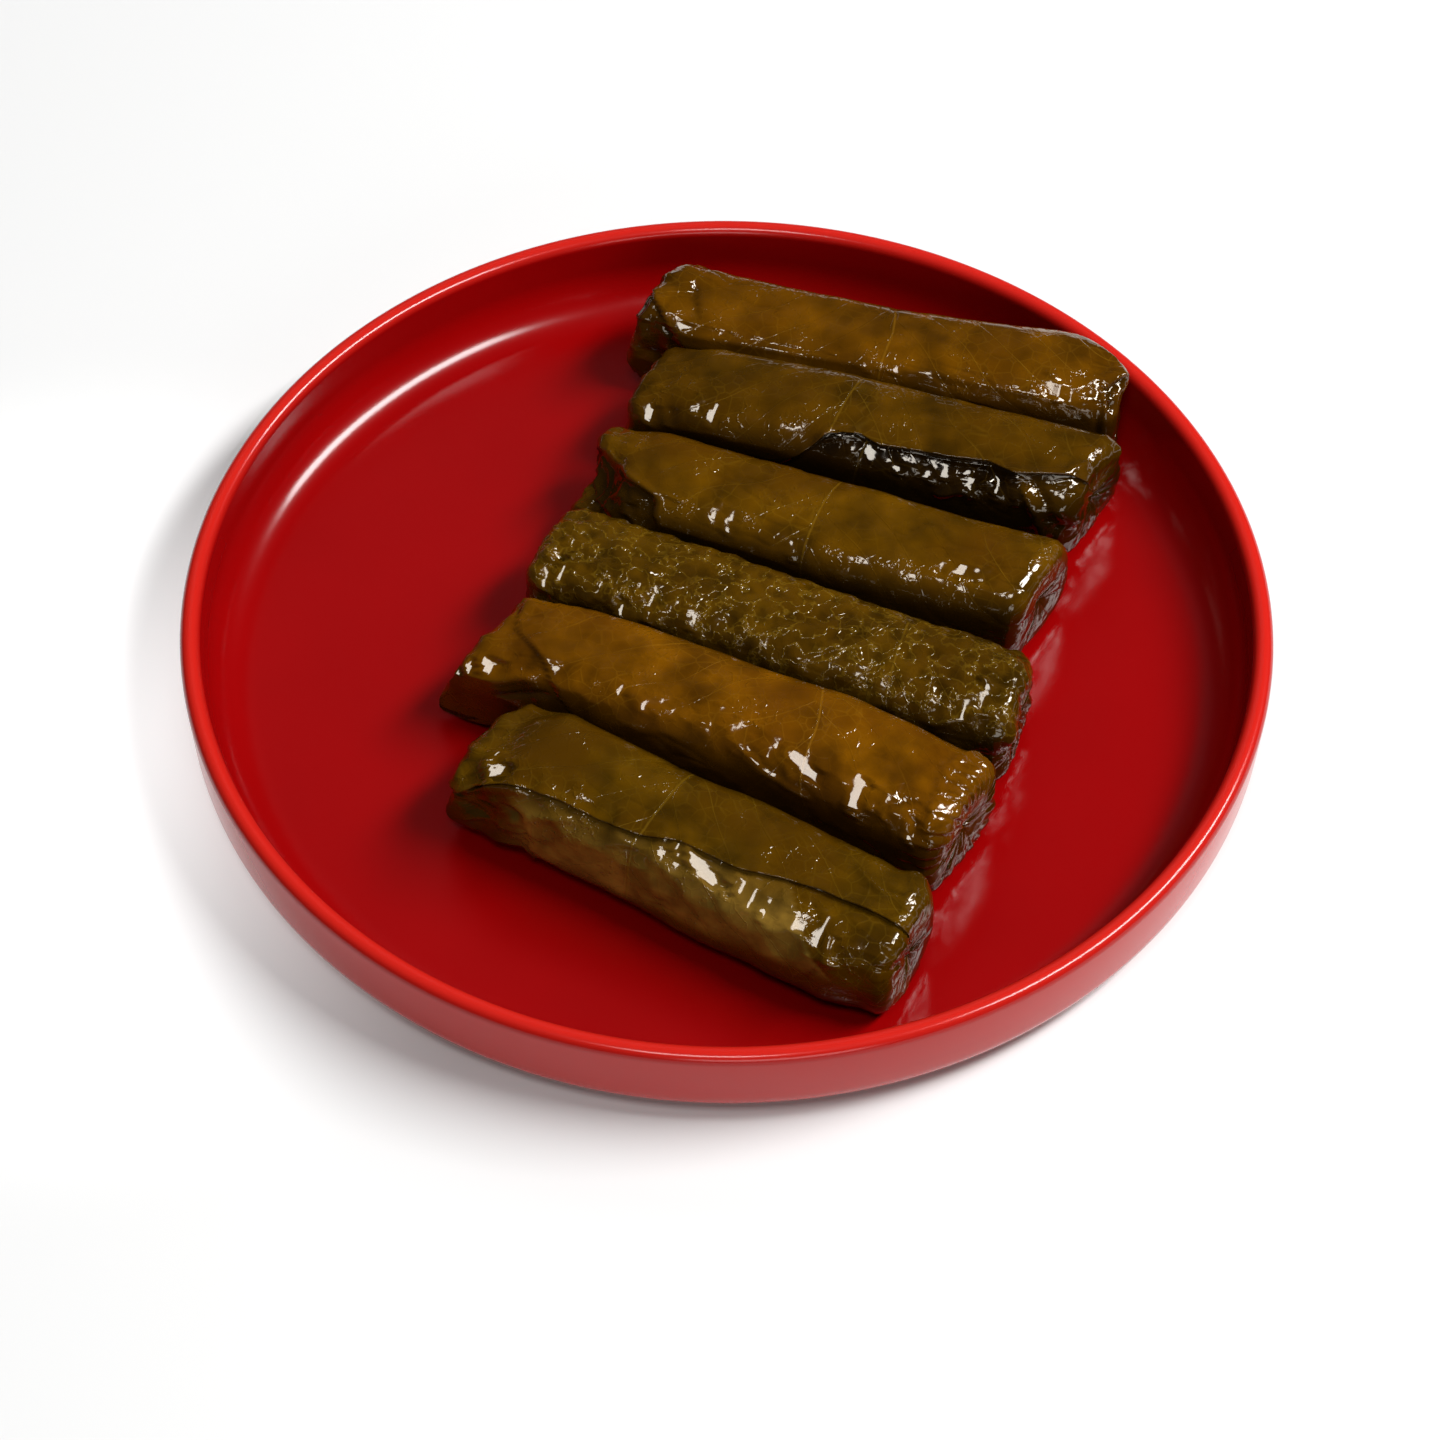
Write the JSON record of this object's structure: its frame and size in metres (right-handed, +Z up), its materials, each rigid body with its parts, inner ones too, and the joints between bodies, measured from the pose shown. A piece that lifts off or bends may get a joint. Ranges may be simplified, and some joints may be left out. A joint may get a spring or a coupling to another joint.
{
  "type": "plate of stuffed grape leaves",
  "caption": "Round red glazed plate with a low upright rim, holding a row of glossy olive-brown stuffed grape leaf rolls with folded-in ends.",
  "frame": {"origin": "on the surface the plate stands on, under the centre of its rim", "axes": "+Z up, +X to the viewer's right along the rolls' length, +Y away from the viewer, across the row of rolls"},
  "size_m": [0.2, 0.2, 0.0275],
  "materials": {
    "red_glaze": "smooth glossy red glaze",
    "leaf_brown_olive": "cooked vine leaf, wet with oil",
    "leaf_olive": "cooked vine leaf, wet with oil",
    "leaf_green_olive": "cooked vine leaf, wet with oil, finely blistered",
    "leaf_amber": "cooked vine leaf, wet with oil",
    "leaf_dark_olive": "cooked vine leaf, wet with oil"
  },
  "bodies": {
    "root": {"plate": "red_glaze", "roll_1": "leaf_brown_olive", "roll_2": "leaf_olive", "roll_3": "leaf_brown_olive", "roll_4": "leaf_green_olive", "roll_5": "leaf_amber", "roll_6": "leaf_dark_olive"}
  },
  "joints": []
}
